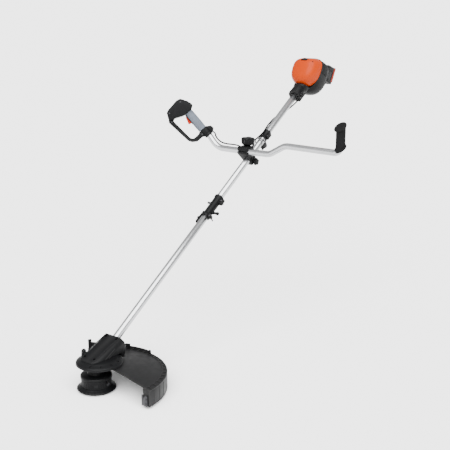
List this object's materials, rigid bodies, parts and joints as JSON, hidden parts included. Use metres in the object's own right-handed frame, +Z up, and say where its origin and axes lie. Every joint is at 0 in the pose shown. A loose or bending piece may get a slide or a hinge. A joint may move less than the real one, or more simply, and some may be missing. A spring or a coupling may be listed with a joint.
{
  "type": "brush cutter",
  "caption": "Cordless brush cutter: split straight shaft, bicycle handlebar with throttle grip, rear motor housing with battery, line trimmer head under a wide guard.",
  "frame": {"origin": "centre of the flat underside of the trimmer head's bump knob, where the head rests on the ground", "axes": "+Z up along the cutting spindle, +Y level and towards the motor end below the shaft, +X towards the operator's left-hand grip"},
  "size_m": [0.7715, 1.4951, 1.0061],
  "materials": {
    "aluminium": "brushed",
    "black_plastic": "satin",
    "guard_plastic": "satin",
    "orange_plastic": "satin gloss",
    "trigger_plastic": "satin",
    "grip_grey": "satin",
    "rubber": "matt",
    "steel": "ground",
    "cast_alloy": "as cast",
    "copper": "enamelled wire",
    "line_nylon": "glossy",
    "board_green": "lacquered",
    "band_red": "satin"
  },
  "bodies": {
    "upper_unit": {"upper_tube": "aluminium", "coupler_sleeve": "black_plastic", "coupler_bolt_lower": "steel", "coupler_bolt_upper": "steel", "clamp_base": "black_plastic", "clamp_lower": "black_plastic", "clamp_cap": "black_plastic", "harness_clamp": "black_plastic", "motor_collar": "black_plastic", "housing_shell": "black_plastic", "orange_cover": "orange_plastic", "rear_frame": "black_plastic", "stator": "copper", "motor_bearing": "steel", "controller_board": "board_green", "shaft_lead": "rubber"},
    "lower_unit": {"lower_tube": "aluminium", "gear_case": "cast_alloy", "head_cover_right": "black_plastic", "head_cover_left": "black_plastic", "guard_flange": "black_plastic", "guard": "guard_plastic", "line_cutter": "steel", "spindle_bearing": "steel", "pinion_bearing": "steel"},
    "lower_drive": {"lower_drive_shaft": "steel", "pinion_gear": "steel"},
    "upper_drive": {"upper_drive_shaft": "steel", "drive_socket": "steel", "rotor": "steel"},
    "cutting_head": {"spindle": "steel", "bevel_gear": "steel", "trimmer_housing": "black_plastic", "trimmer_base": "black_plastic", "line_spool": "grip_grey", "wound_line": "line_nylon", "line_eyelet_a": "steel", "line_eyelet_b": "steel", "bump_spring": "steel"},
    "bump": {"bump_knob": "black_plastic"},
    "coupler_screw": {"coupler_knob": "black_plastic"},
    "lock_pin": {"coupler_lock_pin": "steel"},
    "release_lever": {"coupler_lever": "black_plastic"},
    "carry_ring": {"harness_ring": "steel"},
    "bar_knob": {"clamp_knob": "black_plastic"},
    "tube_knob": {"tube_clamp_knob": "black_plastic"},
    "bar_unit": {"handlebar": "aluminium", "left_grip": "rubber", "grip_cap": "rubber", "throttle_shell_front": "black_plastic", "throttle_shell_rear": "black_plastic", "throttle_grip": "grip_grey", "trigger_switch": "black_plastic", "bar_lead": "rubber"},
    "throttle": {"trigger": "trigger_plastic"},
    "power": {"power_button": "rubber"},
    "lock_off": {"lock_off_button": "trigger_plastic"},
    "battery": {"battery_pack": "black_plastic", "battery_band": "band_red"},
    "latch": {"battery_latch": "rubber"}
  },
  "joints": [
    {"name": "lower_unit_slide", "type": "slide", "parent": "upper_unit", "child": "lower_unit", "axis": [0, -0.8348, -0.5505], "range_m": [0, 0.1]},
    {"name": "head_spin", "type": "hinge", "parent": "lower_unit", "child": "cutting_head", "pos_m": [0, 0, 0.084], "axis": [0, 0, 1], "continuous": true},
    {"name": "lower_drive_spin", "type": "hinge", "parent": "lower_unit", "child": "lower_drive", "pos_m": [0, 0, 0.084], "axis": [0, 0.8348, 0.5505], "continuous": true},
    {"name": "upper_drive_spin", "type": "hinge", "parent": "upper_unit", "child": "upper_drive", "pos_m": [0, 0.66788, 0.52438], "axis": [0, 0.8348, 0.5505], "continuous": true},
    {"name": "bump_slide", "type": "slide", "parent": "cutting_head", "child": "bump", "axis": [0, 0, 1], "range_m": [0, 0.005], "stiffness_N_per_m": 800, "springref_m": -0.002, "deforming": ["bump_spring"]},
    {"name": "handlebar_tilt", "type": "hinge", "parent": "upper_unit", "child": "bar_unit", "pos_m": [0, 0.82953, 0.67888], "axis": [1, 0, 0], "range_deg": [-15, 20]},
    {"name": "bar_knob_turn", "type": "hinge", "parent": "upper_unit", "child": "bar_knob", "pos_m": [0, 0.84953, 0.67888], "axis": [0, 0, 1], "range_deg": [0, 360]},
    {"name": "tube_knob_turn", "type": "hinge", "parent": "upper_unit", "child": "tube_knob", "pos_m": [0, 0.8709, 0.6343], "axis": [1, 0, 0], "range_deg": [0, 360]},
    {"name": "coupler_screw_turn", "type": "hinge", "parent": "upper_unit", "child": "coupler_screw", "pos_m": [0, 0.60443, 0.48255], "axis": [1, 0, 0], "range_deg": [0, 360]},
    {"name": "lock_pin_pull", "type": "slide", "parent": "upper_unit", "child": "lock_pin", "axis": [-1, 0, 0], "range_m": [0, 0.005], "stiffness_N_per_m": 400, "springref_m": -0.002},
    {"name": "release_lever_swing", "type": "hinge", "parent": "upper_unit", "child": "release_lever", "pos_m": [-0.0205, 0.59608, 0.47704], "axis": [0, 0.5505, -0.8348], "range_deg": [0, 10], "stiffness_Nm_per_rad": 0.15, "springref_deg": -5.73},
    {"name": "carry_ring_swing", "type": "hinge", "parent": "upper_unit", "child": "carry_ring", "pos_m": [0, 0.9521, 0.67466], "axis": [1, 0, 0], "range_deg": [-6, 18]},
    {"name": "trigger_squeeze", "type": "hinge", "parent": "bar_unit", "child": "throttle", "pos_m": [-0.24783, 0.78788, 0.80169], "axis": [0.6364, -0.7451, 0.1995], "range_deg": [0, 12], "stiffness_Nm_per_rad": 0.2, "springref_deg": -5.73},
    {"name": "power_press", "type": "slide", "parent": "bar_unit", "child": "power", "axis": [-0.1925, -0.4038, -0.8944], "range_m": [0, 0.002], "stiffness_N_per_m": 300, "springref_m": -0.001},
    {"name": "lock_off_press", "type": "slide", "parent": "bar_unit", "child": "lock_off", "axis": [0.6364, -0.7451, 0.1995], "range_m": [0, 0.004], "stiffness_N_per_m": 300, "springref_m": -0.001},
    {"name": "battery_slide", "type": "slide", "parent": "upper_unit", "child": "battery", "axis": [0, 0.8829, -0.4695], "range_m": [0, 0.08]},
    {"name": "latch_press", "type": "slide", "parent": "battery", "child": "latch", "axis": [0, -0.4695, -0.8829], "range_m": [0, 0.003], "stiffness_N_per_m": 400, "springref_m": -0.001}
  ],
  "couplings": [
    {"joint": "lower_drive_spin", "follows": "head_spin", "ratio": -1.4286},
    {"joint": "upper_drive_spin", "follows": "head_spin", "ratio": -1.4286}
  ]
}
